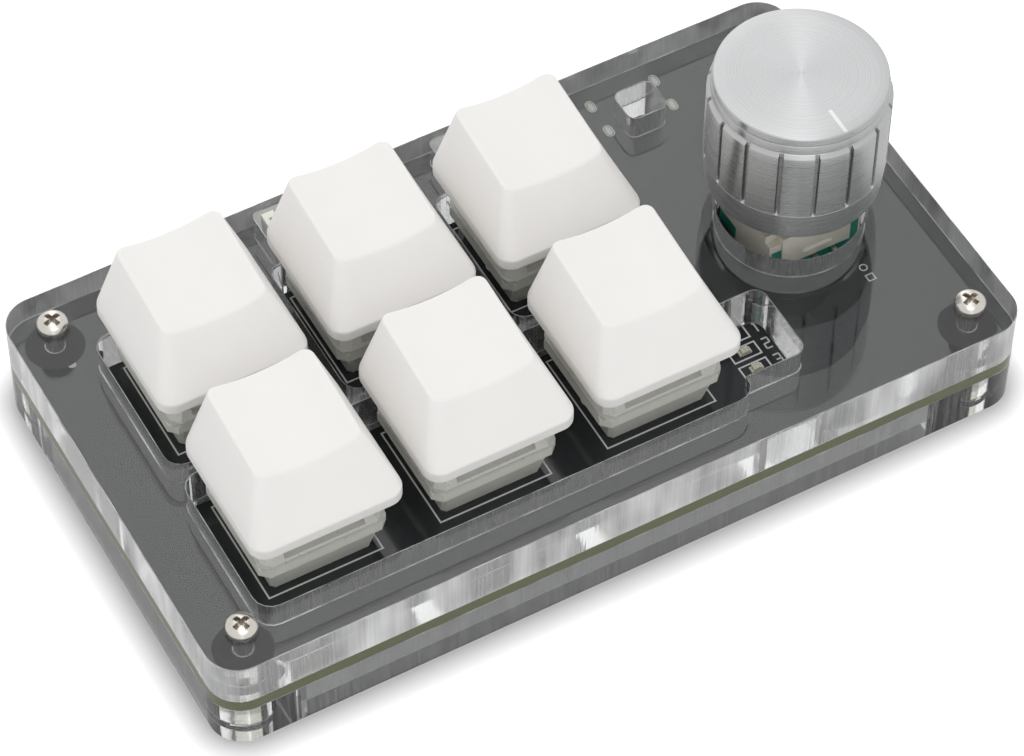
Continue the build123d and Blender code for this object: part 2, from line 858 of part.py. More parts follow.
def make_usb_tongue():
    """Insulating block and contact tongue of the inlet."""
    rear = usb_mouth - usb_len
    front = rear + usb_block_l
    half = usb_w / 2 - usb_wall - usb_block_side
    tall = usb_h / 2 - usb_wall - 0.01
    step = tall - usb_block_step
    crown = half - usb_crown_in
    tongue = half - usb_tongue_in
    body = block(usb_x - half, usb_x + half, rear, front, usb_z - step, usb_z + step)
    body += block(usb_x - crown, usb_x + crown, rear, front, usb_z - tall, usb_z + tall)
    low = usb_z - usb_tongue_t / 2
    body += block(usb_x - tongue, usb_x + tongue, front - sink, usb_mouth - usb_tongue_end, low, low + usb_tongue_t)
    return body


def make_usb_contacts():
    """Solder tails of the inlet behind the shell."""
    rear = usb_mouth - usb_len
    tails = []
    for step in range(usb_tails):
        x = usb_x + (step - (usb_tails - 1) / 2) * usb_tail_pitch
        half = usb_tail_w / 2
        tails.append(block(x - half, x + half, rear - usb_tail_l, rear, z_pcb_low - usb_tail_t, z_pcb_low))
    return tails


def make_leds():
    """Three small indicator lamps in the notch."""
    lamps = []
    for y in led_y:
        lamp = pad(led_x, y, led_w / 2, led_d / 2, z_pcb, z_pcb + led_foot)
        lamp += pad(led_x, y, led_lens / 2, led_d / 2, z_pcb, z_pcb + led_h)
        lamps.append(lamp)
    return lamps


def make_window_resistors():
    """Two chip resistors in the rounded window."""
    y = plate_w / 2 - resistor_rim
    places = [resistor_x + side * resistor_pitch / 2 for side in (-1, 1)]
    return [pad(x, y, resistor_w / 2, resistor_l / 2, z_pcb, z_pcb + resistor_h) for x in places]


def make_controller():
    """Controller chip under the board, with its turn mark."""
    top = z_pcb_low - stand_off
    low = top - chip_h
    body = pad(chip_x, chip_y, chip_w / 2, chip_l / 2, low, top)
    mark = pin(chip_x - chip_w / 2 + mark_in, chip_y + chip_l / 2 - mark_in, low - beyond, low + sink, mark_d)
    return body - mark


def make_controller_leads():
    """Gull wing leads of the chip in two rows."""
    leads = []
    foot = z_pcb_low - lead_t
    for side in (-1, 1):
        for step in range(lead_rows):
            y = chip_y + (step - (lead_rows - 1) / 2) * lead_pitch
            y0 = y - lead_w / 2
            y1 = y + lead_w / 2
            x0 = chip_x + side * chip_w / 2
            lead = span(x0, x0 + side * lead_t, y0, y1, z_pcb_low - lead_rise, foot)
            lead += span(x0, x0 + side * lead_reach, y0, y1, foot, z_pcb_low)
            leads.append(lead)
    return leads


def make_small_chips():
    """Capacitors round the controller and the lamps' resistors, under the board."""
    beside = [(chip_x - cap_gap_x, chip_y + step * cap_pitch) for step in (1, 0, -1)]
    places = beside + [(chip_x, chip_y + cap_gap_y), (chip_x + cap_gap_x, chip_y)]
    chips = [pad(x, y, resistor_w / 2, resistor_l / 2, z_pcb_low - cap_h, z_pcb_low) for x, y in places]
    for y in led_y:
        chips.append(pad(led_x, y, resistor_l / 2, resistor_w / 2, z_pcb_low - resistor_h, z_pcb_low))
    return chips


def make_diodes():
    """One diode beside each key under the board."""
    parts = []
    top = z_pcb_low - stand_off
    for x, y in key_centres():
        body = pad(x + diode_x, y - diode_y, diode_l / 2, diode_w / 2, top - diode_h, top)
        body += pad(x + diode_x, y - diode_y, diode_lead_l / 2, diode_lead_w / 2, top, z_pcb_low)
        parts.append(body)
    return parts


def plug_pin_places():
    """Pin centres of the upright power socket."""
    return [(plug_mid + side * plug_pitch / 2, rear_y) for side in (-1, 1)]


def make_plug_body():
    """Two-way upright power socket in the rear window."""
    x0 = plug_mid - plug_w / 2
    x1 = plug_mid + plug_w / 2
    y0 = rear_y - plug_d / 2
    y1 = rear_y + plug_d / 2
    top = z_pcb + plug_h
    body = block(x0, x1, y0, y1, z_pcb, top)
    body -= block(x0 + plug_side, x1 - plug_side, y0 + plug_front, y1 - plug_back, z_pcb + plug_floor, top + beyond)
    body -= pad(plug_mid, y1, plug_key / 2, plug_back + sink, z_pcb + plug_key_z, top + beyond)
    half = post / 2 + post_gap
    for x, y in plug_pin_places():
        body -= pad(x, y, half, half, z_pcb - beyond, z_pcb + plug_floor + beyond)
    return body


def make_plug_pins():
    """Two square posts of the power socket."""
    half = post / 2
    return [pad(x, y, half, half, z_pcb_low - pin_reach, z_pcb + plug_post_h) for x, y in plug_pin_places()]


def power_pin_places():
    """Three pins of the power slide switch."""
    return [(power_mid + step * power_pitch, rear_y) for step in (-1, 0, 1)]


def make_power_base():
    """Insulating body of the power slide switch."""
    return pad(power_mid, rear_y, power_w / 2, power_d / 2, z_pcb, z_pcb + power_h)


def make_power_cover():
    """Bent steel cover of the power slide switch."""
    x = power_w / 2 - cover_in
    y = power_d / 2
    low = z_pcb + power_h
    body = pad(0, 0, x, y, low, low + cover_room + sheet)
    body -= pad(0, 0, x - sheet, y - sheet, low - beyond, low + cover_room)
    body -= pad(0, 0, (slider_travel + thumb_w) / 2 + slide_side, thumb_d / 2 + thumb_gap, low, low + 3 * beyond)
    return Pos(power_mid, rear_y, 0) * body


def make_power_slider():
    """Slider with its thumb piece, stored at the left stop."""
    mid = power_mid - slider_travel / 2
    low = z_pcb + power_h
    high = low + cover_room - slider_gap
    plate = pad(mid, rear_y, slider_l / 2, slider_d / 2, low + slider_low, high)
    return plate + pad(mid, rear_y, thumb_w / 2, thumb_d / 2, high - sink, low + thumb_h)


def make_power_pins():
    """Three terminals of the power slide switch."""
    return [pad(x, y, post / 2, pin_t / 2, z_pcb_low - pin_reach, z_pcb) for x, y in power_pin_places()]


# Export

def save(name, shape):
    """Write one node; a list becomes separate solids in one file."""
    if isinstance(shape, list):
        shape = Compound(children=shape)
    export_step(shape, f"parts/{name}.step")


def placed(shape, x, y):
    """Piece moved from the board's middle to its own place on the board."""
    return Pos(x, y, z_pcb) * shape


save("top_plate", make_top_plate())
save("circuit_board", make_circuit_board())
save("bottom_plate", make_bottom_plate())
save("corner_screws", [make_screw(x, y) for x, y in corners()])
save("threaded_inserts", [make_insert(x, y) for x, y in corners()])

keycap = make_keycap()
stem = make_stem()
spring = make_spring()
switch_base = make_switch_base()
switch_top = make_switch_top()
leaves = []
for number, (x, y) in enumerate(key_centres(), start=1):
    save(f"keycap_{number}", placed(keycap, x, y))
    save(f"stem_{number}", placed(stem, x, y))
    save(f"spring_{number}", placed(spring, x, y))
    save(f"switch_base_{number}", placed(switch_base, x, y))
    save(f"switch_top_{number}", placed(switch_top, x, y))
    leaves += [placed(leaf, x, y) for leaf in make_contacts()]
save("switch_contacts", leaves)

save("encoder_base", placed(make_encoder_base(), enc_x, enc_y))
save("encoder_frame", placed(make_encoder_frame(), enc_x, enc_y))
save("encoder_pins", [placed(terminal, enc_x, enc_y) for terminal in make_encoder_pins()])
save("encoder_rotor", placed(make_encoder_rotor(), enc_x, enc_y))
save("encoder_shaft", placed(make_encoder_shaft(), enc_x, enc_y))
save("encoder_dome", placed(make_dome(), enc_x, enc_y))
save("knob", placed(make_knob(), enc_x, enc_y))
save("knob_core", placed(make_knob_core(), enc_x, enc_y))

save("usb_shell", make_usb_shell())
save("usb_tongue", make_usb_tongue())
save("usb_contacts", make_usb_contacts())
save("status_leds", make_leds())
save("window_resistors", make_window_resistors())
save("controller", make_controller())
save("controller_leads", make_controller_leads())
save("small_chips", make_small_chips())
save("diodes", make_diodes())
save("plug_body", make_plug_body())
save("plug_pins", make_plug_pins())
save("power_base", make_power_base())
save("power_cover", make_power_cover())
save("power_slider", make_power_slider())
save("power_pins", make_power_pins())
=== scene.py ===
import json
import math

import bmesh
import bpy
from mathutils import Matrix, Vector


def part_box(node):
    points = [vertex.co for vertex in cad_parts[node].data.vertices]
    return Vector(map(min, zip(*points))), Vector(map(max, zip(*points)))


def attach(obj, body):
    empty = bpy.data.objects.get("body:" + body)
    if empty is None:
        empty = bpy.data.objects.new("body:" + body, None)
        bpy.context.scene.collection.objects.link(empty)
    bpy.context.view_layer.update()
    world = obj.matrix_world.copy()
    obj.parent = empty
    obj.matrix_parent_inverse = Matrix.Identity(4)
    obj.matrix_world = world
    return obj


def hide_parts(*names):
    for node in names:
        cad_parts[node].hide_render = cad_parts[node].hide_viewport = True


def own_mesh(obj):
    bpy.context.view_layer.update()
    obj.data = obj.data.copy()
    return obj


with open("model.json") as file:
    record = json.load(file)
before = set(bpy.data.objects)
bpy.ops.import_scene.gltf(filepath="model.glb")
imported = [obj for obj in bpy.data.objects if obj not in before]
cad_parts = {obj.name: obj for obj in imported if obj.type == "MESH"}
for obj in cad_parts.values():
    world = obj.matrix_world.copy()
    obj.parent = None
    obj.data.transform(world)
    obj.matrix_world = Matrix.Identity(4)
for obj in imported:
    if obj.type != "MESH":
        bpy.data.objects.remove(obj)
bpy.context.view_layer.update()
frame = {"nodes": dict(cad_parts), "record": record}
nodes = frame["nodes"]

MM = 0.001

# The camera stands where the photograph was taken from
CAMERA_AZIMUTH = math.radians(-29.43)
CAMERA_ELEVATION = math.radians(52.14)
CAMERA_ROLL = math.radians(0.55)
CAMERA_TARGET = Vector((-2.05, -3.64, 7.65)) * MM
CAMERA_DISTANCE = 487.4 * MM
CAMERA_LENS = 151.5
CAMERA_SENSOR = 36

# Values that several pieces share
board_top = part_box("circuit_board")[1].z
plate_low, plate_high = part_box("top_plate")
base_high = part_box("bottom_plate")[1]
PLATE_CORNER = 4.0 * MM
KEYS = range(1, 7)
SIDES = (-1, 1)


def middle(node):
    """Centre of a node's box."""
    low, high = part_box(node)
    return (low + high) / 2


# Camera

def make_camera():
    """Camera that looks at the target from its azimuth and elevation, slightly rolled."""
    a = CAMERA_AZIMUTH
    e = CAMERA_ELEVATION
    back = Vector((math.sin(a) * math.cos(e), -math.cos(a) * math.cos(e), math.sin(e)))
    right = Vector((0, 0, 1)).cross(back).normalized()
    up = back.cross(right)
    c = math.cos(CAMERA_ROLL)
    s = math.sin(CAMERA_ROLL)
    rolled_right = right * c + up * s
    rolled_up = up * c - right * s
    turn = Matrix((rolled_right, rolled_up, back)).transposed().to_4x4()
    data = bpy.data.cameras.new("camera")
    data.lens = CAMERA_LENS
    data.sensor_width = CAMERA_SENSOR
    data.clip_start = 0.01
    data.clip_end = 10
    camera = bpy.data.objects.new("camera", data)
    camera.matrix_world = Matrix.Translation(CAMERA_TARGET + back * CAMERA_DISTANCE) @ turn
    bpy.context.scene.collection.objects.link(camera)
    bpy.context.scene.camera = camera


# Shader helpers

WHITE_LIGHT = (1, 1, 1, 1)

# Places of the two colours, and of the mixed one, among a mix node's sockets
MIX_COLOURS = slice(6, 8)
MIX_RESULT = 2

# Where most values of a noise texture lie
NOISE_LOW = 0.3
NOISE_HIGH = 0.7


def shade(colour, share):
    """A colour made darker."""
    return tuple(share * c for c in colour)


class Nodes:
    """Short calls for the nodes of a material or of the world."""

    def __init__(self, tree, place):
        self.tree = tree
        self.place = self.node("ShaderNodeTexCoord").outputs[place]

    def node(self, kind, **settings):
        made = self.tree.nodes.new(kind)
        for key, value in settings.items():
            setattr(made, key, value)
        return made

    def link(self, a, b):
        self.tree.links.new(a, b)

    def feed(self, socket, value):
        """Give a socket a plain number or the output of another node."""
        if isinstance(value, (int, float)):
            socket.default_value = value
        else:
            self.link(value, socket)

    def math(self, operation, *values):
        made = self.node("ShaderNodeMath", operation=operation)
        for socket, value in zip(made.inputs, values):
            self.feed(socket, value)
        return made.outputs[0]

    def times(self, first, *others):
        """Product of several values."""
        for other in others:
            first = self.math("MULTIPLY", first, other)
        return first

    def over(self, value, limit):
        """1 where a value lies above a limit, otherwise 0."""
        return self.math("GREATER_THAN", value, limit)

    def under(self, value, limit):
        """1 where a value lies below a limit, otherwise 0."""
        return self.math("LESS_THAN", value, limit)

    def length(self, x, y):
        """Distance from the origin of a flat pair of values."""
        return self.math("SQRT", self.math("ADD", self.times(x, x), self.times(y, y)))

    def along(self, direction):
        """How far the place lies along a direction."""
        made = self.node("ShaderNodeVectorMath", operation="DOT_PRODUCT")
        self.link(self.place, made.inputs[0])
        made.inputs[1].default_value = direction
        return made.outputs["Value"]

    def split(self):
        """The place's three coordinates, by name."""
        made = self.node("ShaderNodeSeparateXYZ")
        self.link(self.place, made.inputs[0])
        return made.outputs

    def outside(self, high):
        """Distance beyond the rounded outline of a plate, from its highest corner."""
        parts = self.split()
        over_x = self.math("SUBTRACT", self.math("ABSOLUTE", parts["X"]), high.x - PLATE_CORNER)
        over_y = self.math("SUBTRACT", self.math("ABSOLUTE", parts["Y"]), high.y - PLATE_CORNER)
        beyond = self.length(self.math("MAXIMUM", over_x, 0.0), self.math("MAXIMUM", over_y, 0.0))
        return self.math("SUBTRACT", beyond, PLATE_CORNER)

    def noise(self, scale, detail=2.0, stretch=None, place=None):
        """Noise over the place, or over another position."""
        made = self.node("ShaderNodeTexNoise")
        made.inputs["Scale"].default_value = scale
        made.inputs["Detail"].default_value = detail
        if place is None:
            place = self.place
        if stretch is not None:
            mapping = self.node("ShaderNodeMapping")
            mapping.inputs["Scale"].default_value = stretch
            self.link(place, mapping.inputs["Vector"])
            place = mapping.outputs[0]
        self.link(place, made.inputs["Vector"])
        return made.outputs["Fac"]

    def ramp(self, value, low, high, out_low, out_high, smooth=False):
        """Value that runs from one end to the other while the given one runs from low to high."""
        kind = "SMOOTHSTEP" if smooth else "LINEAR"
        made = self.node("ShaderNodeMapRange", interpolation_type=kind)
        self.link(value, made.inputs["Value"])
        made.inputs["From Min"].default_value = low
        made.inputs["From Max"].default_value = high
        made.inputs["To Min"].default_value = out_low
        made.inputs["To Max"].default_value = out_high
        return made.outputs["Result"]

    def spread(self, noise, out_low, out_high):
        """A noise pattern stretched over a range of values."""
        return self.ramp(noise, NOISE_LOW, NOISE_HIGH, out_low, out_high)

    def mix(self, factor, colour_a, colour_b):
        """Colour between two colours, each fixed or from a node."""
        made = self.node("ShaderNodeMix", data_type="RGBA")
        self.feed(made.inputs["Factor"], factor)
        for socket, colour in zip(made.inputs[MIX_COLOURS], (colour_a, colour_b)):
            if isinstance(colour, tuple):
                socket.default_value = (*colour, 1)
            else:
                self.link(colour, socket)
        return made.outputs[MIX_RESULT]


class Shader(Nodes):
    """A material with one principled shader."""

    def __init__(self, name, colour, rough=0.5, metal=0.0):
        self.material = bpy.data.materials.new(name)
        self.material.use_nodes = True
        super().__init__(self.material.node_tree, "Object")
        self.main = self.tree.nodes["Principled BSDF"]
        self.put("Base Color", (*colour, 1))
        self.put("Roughness", rough)
        self.put("Metallic", metal)

    def put(self, socket, value):
        self.main.inputs[socket].default_value = value

    def drive(self, socket, value):
        self.link(value, self.main.inputs[socket])

    def bump(self, height, distance, strength):
        made = self.node("ShaderNodeBump")
        made.inputs["Strength"].default_value = strength
        made.inputs["Distance"].default_value = distance
        self.link(height, made.inputs["Height"])
        self.drive("Normal", made.outputs[0])


def upright(shader):
    """1 on faces that stand upright, 0 on level ones."""
    geometry = shader.node("ShaderNodeNewGeometry")
    normal = shader.node("ShaderNodeSeparateXYZ")
    shader.link(geometry.outputs["True Normal"], normal.inputs[0])
    return shader.under(shader.math("ABSOLUTE", normal.outputs["Z"]), 0.5)


# Acrylic

ACRYLIC_IOR = 1.49
STREAK_SCALE = 3200
STREAK_STRETCH = (1, 1, 0.03)
STREAK_HEIGHT = 0.02 * MM
PATCH_SCALE = 160
PATCH_STRETCH = (1, 1, 0.2)
RIM_DEPTH = 0.05 * MM
WALL_ROUGH = 0.12
FACE_ROUGH = 0.012


def acrylic():
    """Polished faces, laser-cut walls with upright streaks, and hazy patches on the upper plate's rim."""
    s = Shader("clear_acrylic", (0.985, 0.995, 0.993), rough=0.0)
    s.put("IOR", ACRYLIC_IOR)
    wall = upright(s)
    streaks = s.noise(STREAK_SCALE, 3, STREAK_STRETCH)
    rim = s.times(s.over(s.outside(plate_high), -RIM_DEPTH), s.over(s.split()["Z"], board_top))
    clouds = s.noise(PATCH_SCALE, 2, PATCH_STRETCH)
    patches = s.ramp(clouds, low=0.42, high=0.62, out_low=0.22, out_high=0.72)
    fine = s.ramp(streaks, low=0.35, high=0.75, out_low=0.01, out_high=0.12)
    haze = s.times(wall, s.math("ADD", fine, s.times(rim, patches)))
    s.drive("Transmission Weight", s.math("SUBTRACT", 1.0, haze))
    wall_rough = s.times(wall, s.spread(streaks, 0.0, WALL_ROUGH))
    face_rough = s.ramp(s.noise(60), low=0.3, high=0.8, out_low=0.0, out_high=FACE_ROUGH)
    s.drive("Roughness", s.math("ADD", wall_rough, face_rough))
    s.bump(s.times(wall, streaks), STREAK_HEIGHT, strength=0.6)
    return s.material


def edge_highlight():
    """Painted highlight along the plates' cut edges, bright in some places and dark in others."""
    dark = (0.22, 0.23, 0.23)
    bright = (0.92, 0.93, 0.92)
    s = Shader("edge_highlight", (0.6, 0.6, 0.6), rough=0.4)
    # Painted highlight: bright and dark stretches along each edge
    places = s.ramp(s.noise(220, detail=4), low=0.35, high=0.65, out_low=0.0, out_high=1.0)
    s.drive("Base Color", s.mix(places, dark, bright))
    s.bump(s.noise(3000), 0.01 * MM, strength=0.6)
    return s.material


# Board, its print and the painted dark rounds under the screws

def board():
    """Black mask on both faces and the olive core at the cut edge."""
    mask = (0.030, 0.032, 0.034)
    olive = (0.13, 0.145, 0.062)
    dark_olive = (0.085, 0.095, 0.045)
    s = Shader("board_black", mask, rough=0.12)
    layers = s.noise(900, detail=3, stretch=(1, 1, 12))
    s.drive("Base Color", s.mix(upright(s), mask, s.mix(layers, olive, dark_olive)))
    s.drive("Roughness", s.spread(s.noise(500), 0.06, 0.10))
    s.bump(s.noise(150), 0.003 * MM, strength=0.15)
    return s.material


def print_ink():
    """White print, slightly uneven."""
    s = Shader("print_white", (0.70, 0.71, 0.71), rough=0.5)
    s.drive("Base Color", s.mix(s.noise(4000, detail=3), (0.74, 0.75, 0.75), (0.60, 0.61, 0.61)))
    s.bump(s.noise(5000), 0.003 * MM, strength=0.5)
    return s.material


def contact_black():
    """Dull black painted where the air film between plate and board is pressed out, in place of the
    reflection that goes missing there.
    """
    s = Shader("contact_black", (0.06, 0.06, 0.062), rough=0.6)
    s.put("Specular IOR Level", 0.2)
    s.drive("Base Color", s.mix(s.noise(500), (0.050, 0.051, 0.053), (0.066, 0.067, 0.069)))
    return s.material


# Plastics

def keycap_plastic():
    """White plastic with a fine, soft grain."""
    s = Shader("keycap_white", (0.86, 0.845, 0.825), rough=0.42)
    s.drive("Base Color", s.mix(s.noise(300, detail=3), (0.905, 0.888, 0.866), (0.88, 0.863, 0.842)))
    s.drive("Roughness", s.spread(s.noise(1500), 0.40, 0.52))
    s.bump(s.noise(5500), 0.006 * MM, strength=0.4)
    return s.material


def moulded(name, colour, rough=0.4, clear=0.0):
    """Moulded plastic with a slight grain, see-through by the share clear."""
    s = Shader(name, colour, rough)
    grain = s.noise(3000)
    s.drive("Base Color", s.mix(s.noise(600, detail=3), colour, shade(colour, 0.9)))
    s.drive("Roughness", s.spread(grain, 0.85 * rough, 1.2 * rough))
    s.bump(grain, 0.004 * MM, strength=0.5)
    s.put("Transmission Weight", clear)
    return s.material


# Metals

RECESS_R = 1.1 * MM
RECESS_BELOW = 0.25 * MM
RECESS_ABOVE = 0.1 * MM

RING_SCALE = 6500
RING_HEIGHT = 0.016 * MM
COARSE_PITCH = 0.36 * MM
COARSE_SHARE = 0.06
FINE_SHARE = 0.8
INDEX_TURN = math.radians(-91)
INDEX_HALF = 0.22 * MM
INDEX_START = 6.2 * MM
INDEX_DEPTH = 0.05 * MM
# Where the flutes are painted darker, as shade
GROOVE_DEPTH = 0.14 * MM
GROOVE_TOP = 3 * MM
GROOVE_FOOT = 0.3 * MM


def metal(name, colour, rough=0.25, grain=1200, stretch=(1, 1, 1), share=1.0):
    """Metal with a fine grain; a share below 1 makes it duller."""
    s = Shader(name, colour, rough, share)
    fine = s.noise(grain, 3, stretch)
    coarse = s.noise(grain / 3, 3, stretch)
    s.drive("Roughness", s.spread(fine, 0.75 * rough, 1.3 * rough))
    s.drive("Base Color", s.mix(coarse, colour, shade(colour, 0.88)))
    s.bump(fine, 0.003 * MM, strength=0.5)
    return s.material


def screw_metal():
    """Plated steel; inside the cross recess it is painted darker, as shade, and a little browner."""
    bright = (0.80, 0.77, 0.72)
    duller = (0.66, 0.63, 0.58)
    inside = (0.55, 0.51, 0.46)
    s = Shader("screw_nickel", bright, rough=0.18, metal=1.0)
    reach_x, reach_y = screw_reach()
    parts = s.split()
    dx = s.math("SUBTRACT", s.math("ABSOLUTE", parts["X"]), reach_x)
    dy = s.math("SUBTRACT", s.math("ABSOLUTE", parts["Y"]), reach_y)
    near = s.under(s.length(dx, dy), RECESS_R)
    below = s.under(parts["Z"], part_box("corner_screws")[1].z - RECESS_BELOW)
    above = s.over(parts["Z"], plate_high.z + RECESS_ABOVE)
    plated = s.mix(s.noise(900, detail=3), bright, duller)
    # Painted shade: the cross recess is coloured darker and a little browner than the plating
    s.drive("Base Color", s.mix(s.times(near, below, above), plated, inside))
    fine = s.noise(1800, detail=3)
    s.drive("Roughness", s.spread(fine, 0.14, 0.26))
    s.bump(fine, 0.003 * MM, strength=0.5)
    return s.material


def turned_aluminium():
    """Turned knob: rings and an index line on the top disc, level lines on the side, and the flutes
    painted darker deep inside as shade.
    """
    s = Shader("knob_aluminium", (0.80, 0.80, 0.81), rough=0.24, metal=1.0)
    low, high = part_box("knob")
    centre = middle("knob")
    parts = s.split()
    dx = s.math("SUBTRACT", parts["X"], centre.x)
    dy = s.math("SUBTRACT", parts["Y"], centre.y)
    radius = s.length(dx, dy)

    path = s.math("ADD", radius, parts["Z"])
    tool_place = s.node("ShaderNodeCombineXYZ")
    s.link(path, tool_place.inputs[0])
    rings = s.noise(RING_SCALE, detail=3, place=tool_place.outputs[0])
    coarse = s.math("SINE", s.times(path, 2 * math.pi / COARSE_PITCH))
    height = s.math("ADD", s.times(rings, FINE_SHARE), s.times(coarse, COARSE_SHARE))
    s.bump(height, RING_HEIGHT, strength=0.8)
    s.drive("Roughness", s.spread(rings, 0.22, 0.36))
    s.put("Anisotropic", 0.95)
    s.put("Anisotropic Rotation", 0.25)
    s.drive("Tangent", s.node("ShaderNodeTangent", direction_type="RADIAL", axis="Z").outputs[0])

    turned = s.mix(s.spread(rings, 0.0, 1.0), (0.50, 0.505, 0.51), (0.66, 0.665, 0.67))
    # Painted shade: the deep part of each flute is coloured darker
    flute_shade = s.under(radius, (high.x - low.x) / 2 - GROOVE_DEPTH)
    below = s.under(parts["Z"], high.z - GROOVE_TOP)
    above = s.over(parts["Z"], low.z + FLUTE_LOW * MM - GROOVE_FOOT)
    turned = s.mix(s.times(flute_shade, below, above), turned, (0.42, 0.42, 0.42))

    c = math.cos(INDEX_TURN)
    n = math.sin(INDEX_TURN)
    out = s.math("ADD", s.times(dx, c), s.times(dy, n))
    side = s.math("SUBTRACT", s.times(dy, c), s.times(dx, n))
    narrow = s.under(s.math("ABSOLUTE", side), INDEX_HALF)
    on_disc = s.over(parts["Z"], high.z - INDEX_DEPTH)
    line = s.times(narrow, s.over(out, INDEX_START), on_disc)
    s.drive("Base Color", s.mix(line, turned, (0.80, 0.80, 0.80)))
    return s.material


def make_materials():
    """One finish for each slot of the record, and those of the pieces made here."""
    steel = (0.70, 0.70, 0.69)
    return {
        "keycap_white": keycap_plastic(),
        "stem_white": moulded("stem_white", (0.80, 0.80, 0.76), 0.35),
        "spring_steel": metal("spring_steel", (0.62, 0.62, 0.62)),
        "housing_cream": moulded("housing_cream", (0.94, 0.95, 0.86), 0.4, clear=0.1),
        "housing_clear": moulded("housing_clear", (0.94, 0.94, 0.88), 0.32, clear=0.25),
        "clear_acrylic": acrylic(),
        # painted highlight for the ribbons along the plates' cut edges
        "edge_highlight": edge_highlight(),
        "board_black": board(),
        "print_white": print_ink(),
        # painted darkness for the rounds under the screws, in place of the missing reflection
        "contact_black": contact_black(),
        "screw_nickel": screw_metal(),
        "insert_brass": metal("insert_brass", (0.74, 0.71, 0.62), 0.25, 1800),
        "contact_metal": metal("contact_metal", (0.72, 0.70, 0.64), 0.3),
        "encoder_green": moulded("encoder_green", (0.01, 0.24, 0.17), 0.35),
        "encoder_steel": metal("encoder_steel", (0.80, 0.77, 0.68), 0.42, 900, share=0.35),
        "rotor_plastic": moulded("rotor_plastic", (0.75, 0.75, 0.72), 0.5),
        "shaft_aluminium": metal("shaft_aluminium", (0.74, 0.74, 0.74), 0.25, 1500, (0.1, 0.1, 1)),
        "knob_aluminium": turned_aluminium(),
        "solder": metal("solder", (0.62, 0.63, 0.57), 0.4, 1500, share=0.5),
        "core_black": moulded("core_black", (0.03, 0.03, 0.03), 0.5),
        "usb_steel": metal("usb_steel", steel, 0.22),
        "usb_black": moulded("usb_black", (0.02, 0.02, 0.02), 0.45),
        "led_white": moulded("led_white", (0.80, 0.78, 0.64), 0.25, clear=0.2),
        "chip_ceramic": moulded("chip_ceramic", (0.10, 0.09, 0.085), 0.4),
        "chip_black": moulded("chip_black", (0.018, 0.018, 0.018), 0.55),
        "power_black": moulded("power_black", (0.02, 0.02, 0.02), 0.45),
        "power_steel": metal("power_steel", steel, 0.25),
        "slider_black": moulded("slider_black", (0.025, 0.025, 0.025), 0.4),
    }


def dress_nodes(materials):
    """Give every carried-over solid the finish of its slot."""
    for part in frame["record"]["subparts"]:
        mesh = nodes[part["node"]].data
        mesh.materials.clear()
        mesh.materials.append(materials[part["material_slot"]])


# Mesh helpers

RING_STEPS = 48
DISC_STEPS = 32


def circle(steps):
    """Angles of evenly spaced places on a circle."""
    return [2 * math.pi * i / steps for i in range(steps)]


def new_piece(name, mesh, material, body="base"):
    """Piece of the scene that rides on a body and belongs to a slot."""
    piece = bpy.data.objects.new(name, mesh)
    bpy.context.scene.collection.objects.link(piece)
    mesh.materials.append(material)
    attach(piece, body)
    return piece


class Flat:
    """Thin printed shapes collected into one mesh."""

    def __init__(self, low, high):
        self.bm = bmesh.new()
        self.low = low
        self.high = high

    def poly(self, points):
        """Closed prism over an outline that runs anticlockwise, in metres."""
        bottom = [self.bm.verts.new((x, y, self.low)) for x, y in points]
        top = [self.bm.verts.new((x, y, self.high)) for x, y in points]
        self.bm.faces.new(top)
        self.bm.faces.new(bottom[::-1])
        count = len(points)
        for i in range(count):
            j = (i + 1) % count
            self.bm.faces.new((bottom[i], bottom[j], top[j], top[i]))

    def bar(self, x0, y0, x1, y1, width):
        """Straight stroke with square ends."""
        run = Vector((x1 - x0, y1 - y0))
        side = Vector((-run.y, run.x)).normalized() * width / 2
        self.poly([(x0 - side.x, y0 - side.y), (x1 - side.x, y1 - side.y),
                   (x1 + side.x, y1 + side.y), (x0 + side.x, y0 + side.y)])

    def ring(self, x, y, inner, outer, start=0, span=360):
        """Ring or part of a ring, as short wedges."""
        count = round(RING_STEPS * span / 360)
        whole = span == 360
        corners = ((inner, self.low), (outer, self.low), (outer, self.high), (inner, self.high))
        rows = []
        for i in range(count if whole else count + 1):
            a = math.radians(start + span * i / count)
            c = math.cos(a)
            s = math.sin(a)
            rows.append([self.bm.verts.new((x + r * c, y + r * s, z)) for r, z in corners])
        for i in range(count):
            a = rows[i]
            b = rows[(i + 1) % len(rows)]
            for k in range(4):
                j = (k + 1) % 4
                self.bm.faces.new((a[k], b[k], b[j], a[j]))
        if not whole:
            self.bm.faces.new(rows[0])
            self.bm.faces.new(rows[-1][::-1])

    def disc(self, x, y, r):
        self.poly([(x + r * math.cos(a), y + r * math.sin(a)) for a in circle(DISC_STEPS)])

    def frame(self, x, y, half_x, half_y, width):
        """Rectangle outline round a middle point, its centre line half a side away."""
        h = width / 2
        for end in (-half_y, half_y):
            self.bar(x - half_x - h, y + end, x + half_x + h, y + end, width)
        for end in (-half_x, half_x):
            self.bar(x + end, y - half_y + h, x + end, y + half_y - h, width)

    def mesh(self, name):
        bmesh.ops.recalc_face_normals(self.bm, faces=self.bm.faces)
        mesh = bpy.data.meshes.new(name)
        self.bm.to_mesh(mesh)
        self.bm.free()
        return mesh


